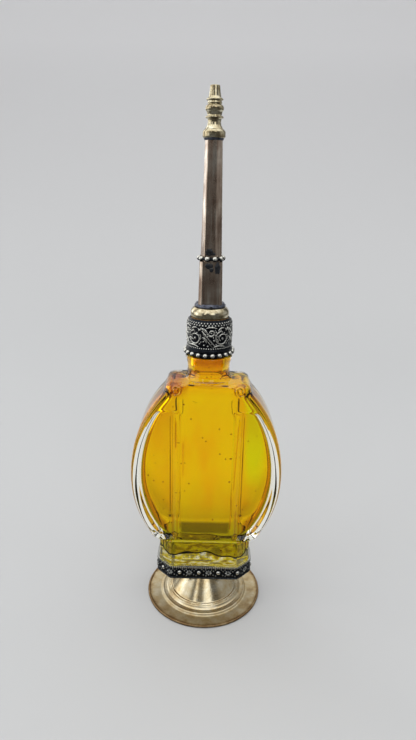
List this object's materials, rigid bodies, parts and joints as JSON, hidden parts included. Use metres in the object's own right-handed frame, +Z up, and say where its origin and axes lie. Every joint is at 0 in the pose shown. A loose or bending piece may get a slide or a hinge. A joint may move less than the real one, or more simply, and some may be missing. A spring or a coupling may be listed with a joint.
{
  "type": "rosewater sprinkler",
  "caption": "Tall amber glass flask on a round metal foot, with a faceted metal spout that unscrews from an embossed neck collar.",
  "frame": {"origin": "centre of the foot's underside, on the surface that the sprinkler stands on", "axes": "+Z up along the spout, +X across the broad face of the flask, the front faces -Y"},
  "size_m": [0.0832, 0.0678, 0.2801],
  "materials": {
    "nickel_silver": "satin spun nickel silver, browned at the rim",
    "soft_solder": "dull dark solder",
    "raw_brass": "satin turned brass",
    "dark_relief": "embossed and blackened, bright on the high places",
    "plaster": "chalky",
    "amber_glass": "clear moulded glass with an amber stain on the inside",
    "cork": "matte",
    "pale_brass": "polished, light tarnish",
    "grey_patina": "folded sheet with a grey-brown patina"
  },
  "bodies": {
    "vessel": {"foot_shell": "nickel_silver", "foot_solder": "soft_solder", "base_tray": "raw_brass", "gallery_band": "dark_relief", "base_cement": "plaster", "flask": "amber_glass", "neck_cement": "plaster", "neck_insert": "raw_brass", "collar_rim": "dark_relief", "collar_beads": "dark_relief", "collar_sleeve": "dark_relief"},
    "seal": {"seal_washer": "cork"},
    "spout": {"cap_dome": "pale_brass", "cap_plate": "pale_brass", "stem_sleeve": "grey_patina", "stem_ring": "dark_relief", "stem_tube": "grey_patina", "stem_solder": "soft_solder", "nozzle": "pale_brass"}
  },
  "joints": [
    {"name": "seal_lift", "type": "slide", "parent": "vessel", "child": "seal", "axis": [0, 0, 1], "range_m": [0, 0.0065]},
    {"name": "spout_turn", "type": "hinge", "parent": "seal", "child": "spout", "pos_m": [0, 0, 0.1718], "axis": [0, 0, 1], "range_deg": [0, 1170]}
  ],
  "couplings": [
    {"joint": "spout_turn", "follows": "seal_lift", "rad_per_m": 3141.6}
  ]
}
